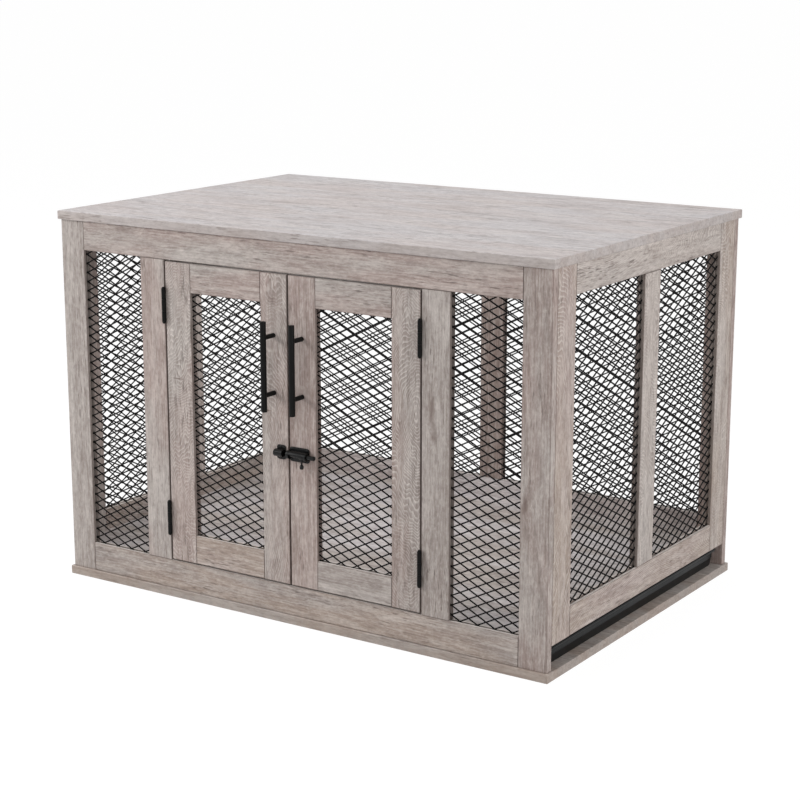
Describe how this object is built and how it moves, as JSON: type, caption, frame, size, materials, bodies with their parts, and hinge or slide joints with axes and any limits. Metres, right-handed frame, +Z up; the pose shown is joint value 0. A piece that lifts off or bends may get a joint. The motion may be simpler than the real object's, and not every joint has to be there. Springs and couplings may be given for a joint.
{
  "type": "dog crate end table",
  "caption": "Wooden dog crate end table with black diamond wire mesh walls, two hinged doors with bar handles and a slide bolt, and a tray that pulls out at the side.",
  "frame": {"origin": "middle of the base panel's underside", "axes": "+Z up, -Y towards the front with the doors, +X towards the end where the tray slides out"},
  "size_m": [0.985, 0.6992, 0.66],
  "materials": {
    "oak": "satin",
    "top_oak": "satin",
    "wire": "satin",
    "hardware": "satin",
    "tray": "matte"
  },
  "bodies": {
    "frame": {"top_panel": "top_oak", "base_panel": "oak", "floor_panel": "oak", "front_top_rail": "oak", "front_bottom_rail": "oak", "front_left_post": "oak", "front_left_stile": "oak", "front_left_mesh": "wire", "front_right_post": "oak", "front_right_stile": "oak", "front_right_mesh": "wire", "back_top_rail": "oak", "back_bottom_rail": "oak", "back_mullion": "oak", "back_left_post": "oak", "back_left_mesh": "wire", "back_right_post": "oak", "back_right_mesh": "wire", "left_top_rail": "oak", "left_bottom_rail": "oak", "left_middle_stile": "oak", "left_front_stile": "oak", "left_rear_stile": "oak", "left_front_mesh": "wire", "left_rear_mesh": "wire", "right_top_rail": "oak", "right_bottom_rail": "oak", "right_middle_stile": "oak", "right_front_stile": "oak", "right_rear_stile": "oak", "right_front_mesh": "wire", "right_rear_mesh": "wire", "left_lower_hinge_frame_leaf": "hardware", "left_upper_hinge_frame_leaf": "hardware", "right_lower_hinge_frame_leaf": "hardware", "right_upper_hinge_frame_leaf": "hardware"},
    "left_door": {"left_door_hinge_stile": "oak", "left_door_meeting_stile": "oak", "left_door_bottom_rail": "oak", "left_door_top_rail": "oak", "left_door_mesh": "wire", "left_handle": "hardware", "left_lower_hinge_door_leaf": "hardware", "left_upper_hinge_door_leaf": "hardware", "latch_keeper": "hardware"},
    "right_door": {"right_door_hinge_stile": "oak", "right_door_meeting_stile": "oak", "right_door_bottom_rail": "oak", "right_door_top_rail": "oak", "right_door_mesh": "wire", "right_handle": "hardware", "right_lower_hinge_door_leaf": "hardware", "right_upper_hinge_door_leaf": "hardware", "latch_body": "hardware"},
    "tray": {"tray": "tray"},
    "latch_bolt": {"latch_bolt": "hardware"},
    "latch_knob": {"latch_knob": "hardware"}
  },
  "joints": [
    {"name": "left_door_hinge", "type": "hinge", "parent": "frame", "child": "left_door", "pos_m": [-0.25725, -0.3348, 0.33], "axis": [0, 0, -1], "range_deg": [0, 170]},
    {"name": "right_door_hinge", "type": "hinge", "parent": "frame", "child": "right_door", "pos_m": [0.25725, -0.3348, 0.33], "axis": [0, 0, 1], "range_deg": [0, 170]},
    {"name": "tray_slide", "type": "slide", "parent": "frame", "child": "tray", "axis": [1, 0, 0], "range_m": [0, 0.88]},
    {"name": "bolt_slide", "type": "slide", "parent": "right_door", "child": "latch_bolt", "axis": [-1, 0, 0], "range_m": [0, 0.0155]},
    {"name": "knob_turn", "type": "hinge", "parent": "latch_bolt", "child": "latch_knob", "pos_m": [0.031, -0.339, 0.2955], "axis": [-1, 0, 0], "range_deg": [0, 75]}
  ]
}
